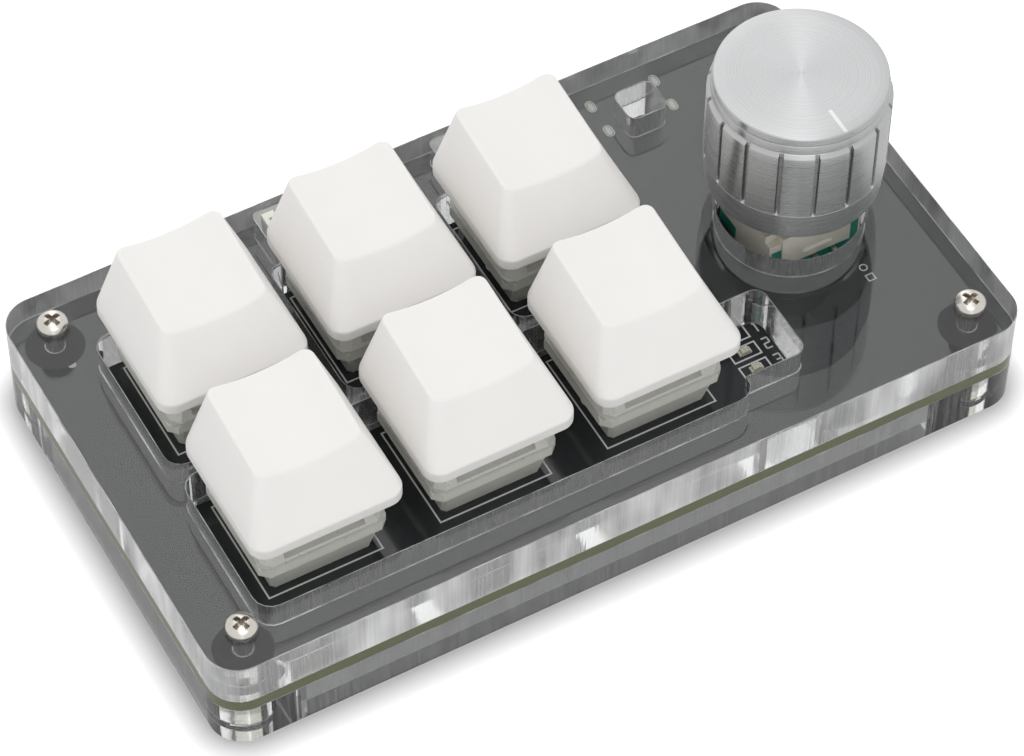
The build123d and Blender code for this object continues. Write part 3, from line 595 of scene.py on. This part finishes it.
def skinned(name, shells, sharp=30):
    """Closed surfaces through loops of matching points, smooth except at corners sharper than an angle."""
    points = []
    faces = []
    for rows in shells:
        count = len(rows[0])
        first = len(points)
        points += [point for row in rows for point in row]
        faces.append(tuple(range(first, first + count))[::-1])
        faces.append(tuple(range(len(points) - count, len(points))))
        for k in range(len(rows) - 1):
            low = first + k * count
            for i in range(count):
                j = (i + 1) % count
                faces.append((low + i, low + j, low + count + j, low + count + i))
    mesh = bpy.data.meshes.new(name)
    mesh.from_pydata(points, [], faces)
    mesh.polygons.foreach_set("use_smooth", [True] * len(faces))
    mesh.set_sharp_from_angle(angle=math.radians(sharp))
    return mesh


# Painted highlights along the cut edges of the plates

EDGE_WIDTH = 0.10 * MM
EDGE_SINK = 0.004 * MM
EDGE_JOIN = EDGE_SINK / 4
EDGE_INNER = 5
LEVEL_NORMAL = 0.99
WALL_NORMAL = 0.1


def make_edge_highlights(node, material):
    """Thin prism just inside each edge where a level face of a plate meets a cut wall, off the table,
    carrying a painted highlight.

    The corner of the prism that lies deepest is EDGE_INNER times as deep as the outer one.
    """
    source = bmesh.new()
    source.from_mesh(nodes[node].data)
    bmesh.ops.remove_doubles(source, verts=source.verts, dist=EDGE_JOIN)
    line = bmesh.new()
    for edge in source.edges:
        if len(edge.link_faces) != 2:
            continue
        level, wall = sorted(edge.link_faces, key=lambda face: -abs(face.normal.z))
        a, b = (vert.co for vert in edge.verts)
        if abs(level.normal.z) < LEVEL_NORMAL or abs(wall.normal.z) > WALL_NORMAL or a.z < EDGE_WIDTH:
            continue
        down = -level.normal * EDGE_SINK
        back = -wall.normal * EDGE_SINK
        on_level = down - wall.normal * EDGE_WIDTH
        on_wall = back - level.normal * EDGE_WIDTH
        section = (down + back, on_level, EDGE_INNER * (down + back), on_wall)
        ends = [[line.verts.new(end + corner) for corner in section] for end in (a, b)]
        line.faces.new(ends[0])
        line.faces.new(ends[1][::-1])
        for i in range(4):
            j = (i + 1) % 4
            line.faces.new((ends[0][i], ends[1][i], ends[1][j], ends[0][j]))
    bmesh.ops.recalc_face_normals(line, faces=line.faces)
    mesh = bpy.data.meshes.new(f"{node}_edges")
    line.to_mesh(mesh)
    line.free()
    source.free()
    new_piece(f"{node}_edges", mesh, material)


# Keycaps, in millimetres from the switch centre and the top of the board

BAND = 1.5
BAND_SOFT = 0.12
LOW_R = 2.0
RIM_SHARE = 0.985
RIM_RISE = 0.15
TOP_R = 1.2
TOP_HALF = 6.3
TOP_FRONT = (-4.4, 18.3)
TOP_BACK = (8.15, 19.75)
DISH_R = 21.0
DISH_DEPTH = 1.0
SOFT_EDGE = 0.35
SOFT_STEPS = 6
WALL = 1.3
WALL_HIGH = 1.1
WALL_R = 1.0
CEILING = 16.3
CEILING_SHARE = 0.1
WALL_SHARES = (0.015, 0.2, 0.4, 0.6, 0.8)
TOP_SHARES = (0.85, 0.65, 0.45, 0.25, 0.08)
CORNER_STEPS = 8
SIDE_STEPS = 8
CAP_SHARP = 18
POST_BORE = 2.05
POST_R = 2.7
POST_LOW = 11.45
POST_GAP = 0.02
BORE_GAP = 0.3
POST_STEPS = 32


def rectangle(x0, x1, y0, y1, r):
    """Points round a rectangle with rounded corners, also along its straight sides."""
    corners = ((x1 - r, y0 + r, -90), (x1 - r, y1 - r, 0), (x0 + r, y1 - r, 90), (x0 + r, y0 + r, 180))
    arcs = []
    for cx, cy, start in corners:
        turns = [math.radians(start + 90 * k / CORNER_STEPS) for k in range(CORNER_STEPS + 1)]
        arcs.append([Vector((cx + r * math.cos(a), cy + r * math.sin(a))) for a in turns])
    loop = []
    for k, arc in enumerate(arcs):
        following = arcs[(k + 1) % 4]
        loop += arc
        loop += [arc[-1].lerp(following[0], i / SIDE_STEPS) for i in range(1, SIDE_STEPS)]
    return loop


def dish_height(x, y):
    """Height of the dished top."""
    rise = (TOP_BACK[1] - TOP_FRONT[1]) / (TOP_BACK[0] - TOP_FRONT[0])
    sag = DISH_R - math.sqrt(DISH_R ** 2 - x * x) - DISH_DEPTH
    return TOP_FRONT[1] + (y - TOP_FRONT[0]) * rise + sag


def cap_inside(low, half, rim, top):
    """Loops from the ceiling inside down to the lower edge."""
    band = low + BAND
    inner_half = half - WALL
    inner_low = rectangle(-inner_half, inner_half, -inner_half, inner_half, WALL_R)
    share = (CEILING - band) / (TOP_FRONT[1] - band)
    inner_high = [p.lerp(q, share) * (1 - WALL_HIGH / half) for p, q in zip(rim, top)]
    return [
        [(CEILING_SHARE * p.x, CEILING_SHARE * p.y, CEILING) for p in inner_high],
        [(p.x, p.y, CEILING) for p in inner_high],
        [(p.x, p.y, low) for p in inner_low],
    ]


def cap_top(inward, centre):
    """Loops over the dished top, from its edge to its middle."""
    rows = []
    for share in TOP_SHARES:
        row = []
        for p in inward:
            x = p.x * share
            y = centre + (p.y - centre) * share
            row.append((x, y, dish_height(x, y)))
        rows.append(row)
    return rows


def cap_rows(low, half):
    """Loops from the ceiling inside, round the rim, up the walls and over the dished top."""
    band = low + BAND
    centre = (TOP_FRONT[0] + TOP_BACK[0]) / 2
    rim = rectangle(-half, half, -half, half, LOW_R)
    top = rectangle(-TOP_HALF, TOP_HALF, TOP_FRONT[0], TOP_BACK[0], TOP_R)
    edges = [Vector((p.x, p.y, dish_height(p.x, p.y))) for p in top]
    walls = [(Vector((p.x, p.y, band)), edge) for p, edge in zip(rim, edges)]
    rows = cap_inside(low, half, rim, top)
    rows.append([(RIM_SHARE * p.x, RIM_SHARE * p.y, low) for p in rim])
    rows.append([(p.x, p.y, low + RIM_RISE) for p in rim])
    rows.append([(p.x, p.y, band - BAND_SOFT) for p in rim])
    for share in WALL_SHARES:
        rows.append([tuple(foot.lerp(edge, share)) for foot, edge in walls])
    below = [edge + (foot - edge).normalized() * SOFT_EDGE for foot, edge in walls]
    inward = []
    for edge in edges:
        flat = Vector((edge.x, edge.y - centre))
        flat *= 1 - SOFT_EDGE / flat.length
        inward.append(Vector((flat.x, flat.y + centre, dish_height(flat.x, flat.y + centre))))
    for step in range(SOFT_STEPS + 1):
        t = step / SOFT_STEPS
        rows.append([tuple(a * (1 - t) ** 2 + edge * 2 * t * (1 - t) + b * t ** 2)
                     for a, edge, b in zip(below, edges, inward)])
    return rows + cap_top(inward, centre)


def post_rows():
    """Loops of the tube below the ceiling that holds the stem's cross."""
    bore = [(POST_BORE, CEILING - BORE_GAP), (POST_BORE, POST_LOW)]
    outside = [(POST_R, POST_LOW), (POST_R, CEILING - POST_GAP)]
    return [[(r * math.cos(a), r * math.sin(a), z) for a in circle(POST_STEPS)] for r, z in bore + outside]


def placed(rows, c):
    """Loops moved from millimetres round a switch to the frame."""
    return [[(c.x + x * MM, c.y + y * MM, board_top + z * MM) for x, y, z in row] for row in rows]


def make_keycaps(material):
    """Smooth keycaps in place of the faceted ones."""
    for n in KEYS:
        node = f"keycap_{n}"
        low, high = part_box(node)
        c = middle(node)
        cap_loops = placed(cap_rows((low.z - board_top) / MM, (high.x - low.x) / 2 / MM), c)
        cap_mesh = skinned(f"cap_{n}", [cap_loops], CAP_SHARP)
        cap = new_piece(f"cap_{n}", cap_mesh, material, f"key_{n}")
        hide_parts(node)
        post_mesh = skinned(f"cap_post_{n}", [placed(post_rows(), c)])
        new_piece(f"cap_post_{n}", post_mesh, material, f"key_{n}")


# Screws, in millimetres from the middle of the head's seat

HEAD_R = 1.85
HEAD_EDGE = 0.05
HEAD_RIM = 0.5
HEAD_TOP = 1.35
DOME_POWER = 2.8
TIP_R = 0.1
SHANK_R = 1.0
SHANK_LOW = -12.0
THREAD_PITCH = 0.4
THREAD_DEPTH = 0.13
CROSS_TURN = math.radians(20)
CROSS_HALF = 0.27
CROSS_REACH = 1.05
CROSS_DEPTH = 0.75
CROSS_SIDE = 0.07
CROSS_END = 0.3
HEAD_RINGS = (
    1.85, 1.82, 1.76, 1.68, 1.58, 1.45, 1.3, 1.18, 1.1, 1.04, 0.98,
    0.9, 0.8, 0.65, 0.5, 0.42, 0.36, 0.31, 0.27, 0.22, 0.15, 0.05,
)
SCREW_SIDES = 72


def screw_reach():
    """Distances of the screws' axes from the middle of the plates."""
    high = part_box("corner_screws")[1]
    return high.x - HEAD_R * MM, high.y - HEAD_R * MM


def cross_depth(x, y):
    """Depth of the cross recess at a place on the head."""
    depth = 0.0
    for turn in (CROSS_TURN, CROSS_TURN + math.pi / 2):
        along = abs(x * math.cos(turn) + y * math.sin(turn))
        across = abs(y * math.cos(turn) - x * math.sin(turn))
        share = min((CROSS_HALF - across) / CROSS_SIDE, (CROSS_REACH - along) / CROSS_END, 1.0)
        depth = max(depth, CROSS_DEPTH * share)
    return depth


def screw_rows(x, y, z):
    """Loops from the tip up the threads and over the domed head."""
    turns = circle(SCREW_SIDES)
    profile = [(TIP_R, SHANK_LOW), (SHANK_R - 2 * THREAD_DEPTH, SHANK_LOW)]
    count = int(-SHANK_LOW / THREAD_PITCH)
    for i in range(1, count):
        crest = SHANK_LOW + i * THREAD_PITCH
        profile += [(SHANK_R - THREAD_DEPTH, crest - THREAD_PITCH / 2), (SHANK_R, crest)]
    profile += [(SHANK_R - THREAD_DEPTH, 0.0), (HEAD_R - HEAD_EDGE, 0.0), (HEAD_R, HEAD_EDGE)]
    rows = [[(r * math.cos(a), r * math.sin(a), h) for a in turns] for r, h in profile]
    for r in HEAD_RINGS:
        dome = HEAD_RIM + (HEAD_TOP - HEAD_RIM) * math.sqrt(1 - (r / HEAD_R) ** DOME_POWER)
        ring = [(r * math.cos(a), r * math.sin(a)) for a in turns]
        rows.append([(px, py, dome - cross_depth(px, py)) for px, py in ring])
    return [[(x + px * MM, y + py * MM, z + pz * MM) for px, py, pz in row] for row in rows]


def make_screws(material):
    """Pan head screws with domed heads and threads."""
    reach_x, reach_y = screw_reach()
    shells = [screw_rows(i * reach_x, j * reach_y, plate_high.z) for i in SIDES for j in SIDES]
    screws = new_piece("domed_screws", skinned("domed_screws", shells), material)
    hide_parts("corner_screws")


# Knob, in millimetres

FLUTES = 16
FLUTE_TURN = 2.2
FLUTE_HALF = 0.31
FLUTE_FLOOR = 0.2
FLUTE_DEPTH = 0.42
FLUTE_LOW = 4.3
FLUTE_SIDE = 0.36
FLUTE_PLACES = (-0.36, -0.31, -0.27, -0.2, -0.1, 0.0, 0.1, 0.2, 0.27, 0.31, 0.36)
LAND_STEPS = 6
DISC_RADII = (0.2, 2.0, 4.0, 6.0, 8.0)

# Distances inward from the side and down from the top
FALL = (
    (0.86, 0.0), (0.70, 0.03), (0.58, 0.14), (0.55, 0.3), (0.51, 0.92), (0.64, 0.98), (0.64, 1.09),
    (0.49, 1.15), (0.44, 1.3), (0.40, 2.12), (0.56, 2.19), (0.56, 2.33), (0.40, 2.39), (0.34, 2.44),
    (0.25, 2.54), (0.17, 2.63), (0.08, 2.73), (0.02, 2.81), (0.0, 2.9), (0.0, 4.0), (0.0, 6.5), (0.0, 9.0),
    (0.0, 11.2),
)

# Distances inward from the side and up from the lower rim
FOOT = (
    (0.0, 4.9), (0.0, 4.6), (0.0, 4.45), (0.0, 4.35), (0.0, 4.25), (0.0, 4.15), (0.0, 4.05), (0.0, 3.98),
    (0.04, 3.93), (0.01, 3.88), (0.10, 2.7), (0.22, 1.3), (0.31, 0.2), (0.35, 0.06), (0.45, 0.0),
)

KNOB_HOLE = 8.5
KNOB_HOLE_H = 3.05
CORE = 5.8
CORE_ROOF = 2.7
CORE_MIDDLE = 0.2


def flute_cut(across, z):
    """Depth of a flute at a distance from its middle line; its lower end is round."""
    reach = math.hypot(across, max(0.0, FLUTE_LOW - z))
    share = min(1.0, max(0.0, (FLUTE_HALF - reach) / (FLUTE_HALF - FLUTE_FLOOR)))
    return FLUTE_DEPTH * share * share * (3 - 2 * share)


def knob_columns(full):
    """Angle of each column of points, and its distance from the middle line of its flute."""
    land = 2 * math.pi * full / FLUTES - 2 * FLUTE_SIDE
    between = [FLUTE_SIDE + land * i / LAND_STEPS for i in range(1, LAND_STEPS)]
    columns = []
    for k in range(FLUTES):
        middle_line = math.radians(FLUTE_TURN + 360 * k / FLUTES)
        columns += [(middle_line + across / full, across) for across in (*FLUTE_PLACES, *between)]
    return columns


def make_knob(material):
    """Knob with fine edges, two rim grooves and round-ended flutes."""
    low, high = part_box("knob")
    c = middle("knob")
    full = (high.x - low.x) / 2 / MM
    tall = (high.z - low.z) / MM
    profile = [(r, tall) for r in DISC_RADII]
    profile += [(full - d, tall - down) for d, down in FALL]
    profile += [(full - d, up) for d, up in FOOT]
    profile += [(KNOB_HOLE, 0.0), (KNOB_HOLE, KNOB_HOLE_H), (CORE, KNOB_HOLE_H)]
    profile += [(CORE, tall - CORE_ROOF), (CORE_MIDDLE, tall - CORE_ROOF)]
    columns = knob_columns(full)
    rows = []
    for r, z in profile:
        row = []
        for turn, across in columns:
            bound = full - flute_cut(across, z) if r > KNOB_HOLE else full
            q = min(r, bound) * MM
            row.append((c.x + q * math.cos(turn), c.y + q * math.sin(turn), low.z + z * MM))
        rows.append(row)
    mesh = skinned("knob_turned", [rows[::-1]])
    knob = new_piece("knob_turned", mesh, material, "knob_body")
    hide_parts("knob")


# Print on the board

PRINT_RISE = 0.012 * MM
LINE = 0.2 * MM
SWITCH_HALF = 7.0 * MM
PEG_X = 5.08 * MM
PEG_R = 1.15 * MM
LAMPS = 3
LAMP_HALF = 0.4 * MM
LAMP_FRAME = (1.75 * MM, 0.92 * MM)
DIGIT_LEFT = 2.5 * MM
DIGIT_TALL = 1.5 * MM
DIGIT_WIDE = 0.7 * DIGIT_TALL
RESISTOR_HALF = 0.4 * MM
RESISTOR_SIDE = 0.75 * MM
RESISTOR_END = 0.5 * MM
CORNER_MARKS = ((-45.5 * MM, 20.15 * MM), (45.3 * MM, -20.8 * MM))
CORNER_MARK_R = 0.5 * MM
KNOB_RING = (40.1 * MM, -10.7 * MM)
KNOB_RING_R = (0.36 * MM, 0.52 * MM)
KNOB_SQUARE = (40.1 * MM, -12.3 * MM)
KNOB_SQUARE_HALF = 0.45 * MM
KNOB_SQUARE_LINE = 0.14 * MM

# Strokes of the plain numbers beside the lamps, from 0 to 1 across and up
DIGITS = {
    1: [(0.3, 0.8, 0.5, 1.0), (0.5, 1.0, 0.5, 0.0)],
    2: [(0.1, 1.0, 0.8, 1.0), (0.8, 1.0, 0.8, 0.5), (0.8, 0.5, 0.1, 0.5), (0.1, 0.5, 0.1, 0.0),
        (0.1, 0.0, 0.8, 0.0)],
    3: [(0.1, 1.0, 0.8, 1.0), (0.8, 1.0, 0.8, 0.0), (0.8, 0.5, 0.2, 0.5), (0.1, 0.0, 0.8, 0.0)],
}


def print_lamps(ink):
    """A frame round each lamp and its number beside it, counted from the back."""
    low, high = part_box("status_leds")
    x = (low.x + high.x) / 2
    pitch = (high.y - low.y - 2 * LAMP_HALF) / (LAMPS - 1)
    left = x + DIGIT_LEFT
    for i in range(LAMPS):
        y = low.y + LAMP_HALF + i * pitch
        foot = y - DIGIT_TALL / 2
        ink.frame(x, y, *LAMP_FRAME, LINE)
        for x0, y0, x1, y1 in DIGITS[LAMPS - i]:
            ink.bar(left + x0 * DIGIT_WIDE, foot + y0 * DIGIT_TALL,
                    left + x1 * DIGIT_WIDE, foot + y1 * DIGIT_TALL, LINE)


def make_print(material):
    """White outlines round the switches, lamps and resistors, and the marks beside the knob."""
    ink = Flat(board_top, board_top + PRINT_RISE)
    for n in KEYS:
        c = middle(f"switch_base_{n}")
        ink.frame(c.x, c.y, SWITCH_HALF, SWITCH_HALF, LINE)
        ink.ring(c.x - PEG_X, c.y, PEG_R, PEG_R + 0.6 * LINE)
    print_lamps(ink)
    low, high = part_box("window_resistors")
    y = (low.y + high.y) / 2
    for x in (low.x + RESISTOR_HALF, high.x - RESISTOR_HALF):
        ink.frame(x, y, RESISTOR_SIDE, (high.y - low.y) / 2 + RESISTOR_END, 0.8 * LINE)
    for x, y in CORNER_MARKS:
        ink.disc(x, y, CORNER_MARK_R)
    ink.ring(*KNOB_RING, *KNOB_RING_R)
    ink.frame(*KNOB_SQUARE, KNOB_SQUARE_HALF, KNOB_SQUARE_HALF, KNOB_SQUARE_LINE)
    new_piece("board_print", ink.mesh("board_print"), material)


# Painted dark rounds where the screws press the upper plate onto the board, in place of the missing
# reflection

ROUND_IN = 1.3 * MM
ROUND_OUT = 3.4 * MM
ROUND_CLEAR = 0.005 * MM
ROUND_ENTER = 0.02 * MM


def make_painted_contact_rounds(material):
    """A dull dark ring between the board and the upper plate round each screw, painted in place of the
    missing reflection.
    """
    rounds = Flat(board_top + ROUND_CLEAR, plate_low.z + ROUND_ENTER)
    reach_x, reach_y = screw_reach()
    for i in SIDES:
        for j in SIDES:
            rounds.ring(i * reach_x, j * reach_y, ROUND_IN, ROUND_OUT)
    new_piece("painted_contact_rounds", rounds.mesh("painted_contact_rounds"), material)


# Plated slots of the inlet's legs

LEG_X = 4.32 * MM
LEG_Y = (25.6 * MM, 21.3 * MM)
LEG_HALF = 0.35 * MM
FILL_R = 0.33 * MM
FILL_STEPS = 12
PAD_IN = 0.42 * MM
PAD_OUT = 0.56 * MM


def make_pads(material):
    """Tinned rings and solder at the plated slots on the upper side."""
    rings = Flat(board_top, board_top + 2 * PRINT_RISE)
    turns = [math.pi * i / FILL_STEPS for i in range(FILL_STEPS + 1)]
    for side in SIDES:
        x = middle("usb_shell").x + side * LEG_X
        for y in LEG_Y:
            rings.ring(x, y + LEG_HALF, PAD_IN, PAD_OUT, 0, 180)
            rings.ring(x, y - LEG_HALF, PAD_IN, PAD_OUT, 180, 180)
            for k in SIDES:
                bar_x = x + k * (PAD_IN + PAD_OUT) / 2
                rings.bar(bar_x, y - LEG_HALF, bar_x, y + LEG_HALF, PAD_OUT - PAD_IN)
            half = [(FILL_R * math.cos(a), LEG_HALF + FILL_R * math.sin(a)) for a in turns]
            rings.poly([(x + k * dx, y + k * dy) for k in reversed(SIDES) for dx, dy in half])
    new_piece("board_pads", rings.mesh("board_pads"), material)


# Stage

FLOOR_HALF = 2.0
FLOOR_DROP = 0.02 * MM
# The floor's glow, and the distances from the plate over which it fades in; they paint the shadow's edge
FLOOR_LIFT = 0.5
SHADOW_START = 0.3 * MM
SHADOW_END = 3.5 * MM


def make_stage():
    """Pale floor that keeps the shadow close to the object and shows white beyond it: its glow to the
    camera fades out towards the plate, which paints the shadow's edge.
    """
    floor_mesh = bpy.data.meshes.new("floor")
    corners = [(i * FLOOR_HALF, j * FLOOR_HALF, 0) for i, j in ((-1, -1), (1, -1), (1, 1), (-1, 1))]
    floor_mesh.from_pydata(corners, [], [(0, 1, 2, 3)])
    floor = bpy.data.objects.new("floor", floor_mesh)
    bpy.context.scene.collection.objects.link(floor)
    floor.location.z = -FLOOR_DROP
    s = Shader("floor_white", (0.80, 0.80, 0.80), rough=0.9)
    s.put("Specular IOR Level", 0.0)
    s.put("Emission Color", WHITE_LIGHT)
    path = s.node("ShaderNodeLightPath")
    # Painted shadow: the camera-only glow fades from full to none as the floor nears the plate
    painted_shadow_glow = s.ramp(s.outside(base_high), SHADOW_START, SHADOW_END, 0.0, FLOOR_LIFT)
    s.drive("Emission Strength", s.times(path.outputs["Is Camera Ray"], painted_shadow_glow))
    floor_mesh.materials.append(s.material)


# Light

STUDIO_SIDE = (0.927, -0.375, 0.0)
STUDIO_BACK = (0.375, 0.927, 0.0)
STUDIO_LOW = 0.83
STUDIO_HIGH = 1.5
LAMP_PLACE = Vector((-0.03, -0.24, 0.76))
LAMP_AIM = Vector((0, 0, 0.01))
LAMP_SIZE = 0.45
LAMP_POWER = 0.4


def make_studio():
    """World light, brightest in a band behind the object, white to the camera and through the acrylic."""
    world = bpy.data.worlds.new("studio")
    bpy.context.scene.world = world
    world.use_nodes = True
    background = world.node_tree.nodes["Background"]
    background.inputs["Color"].default_value = WHITE_LIGHT
    s = Nodes(world.node_tree, "Generated")
    sideways = s.math("ABSOLUTE", s.along(STUDIO_SIDE))
    band = s.ramp(sideways, low=0.06, high=0.30, out_low=1.0, out_high=0.0, smooth=True)
    behind = s.ramp(s.along(STUDIO_BACK), low=-0.7, high=0.1, out_low=0.3, out_high=1.0, smooth=True)
    studio = s.math("ADD", STUDIO_LOW, s.times(band, behind, STUDIO_HIGH - STUDIO_LOW))
    path = s.node("ShaderNodeLightPath")
    clear = s.math("MAXIMUM", path.outputs["Is Camera Ray"], path.outputs["Is Transmission Ray"])
    kept = s.times(studio, s.math("SUBTRACT", 1.0, clear))
    s.link(s.math("ADD", kept, clear), background.inputs["Strength"])


def make_lamp():
    """Soft lamp in front of the object."""
    data = bpy.data.lights.new("key_light", "AREA")
    data.shape = "DISK"
    data.size = LAMP_SIZE
    data.energy = LAMP_POWER
    light = bpy.data.objects.new("key_light", data)
    light.location = LAMP_PLACE
    light.rotation_euler = (LAMP_AIM - LAMP_PLACE).to_track_quat("-Z", "Y").to_euler()
    bpy.context.scene.collection.objects.link(light)


# Scene

bpy.context.scene.view_settings.view_transform = "Standard"
make_camera()
finishes = make_materials()
dress_nodes(finishes)
make_print(finishes["print_white"])
# Dark rings painted round the screws where the air film's reflection goes missing
make_painted_contact_rounds(finishes["contact_black"])
make_pads(finishes["solder"])
# Thin prisms that carry a painted highlight along the plates' cut edges
for plate in ("top_plate", "bottom_plate"):
    make_edge_highlights(plate, finishes["edge_highlight"])
make_keycaps(finishes["keycap_white"])
make_screws(finishes["screw_nickel"])
make_knob(finishes["knob_aluminium"])
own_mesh(nodes["encoder_dome"])
for number in KEYS:
    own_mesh(nodes[f"spring_{number}"])
make_stage()
make_studio()
make_lamp()
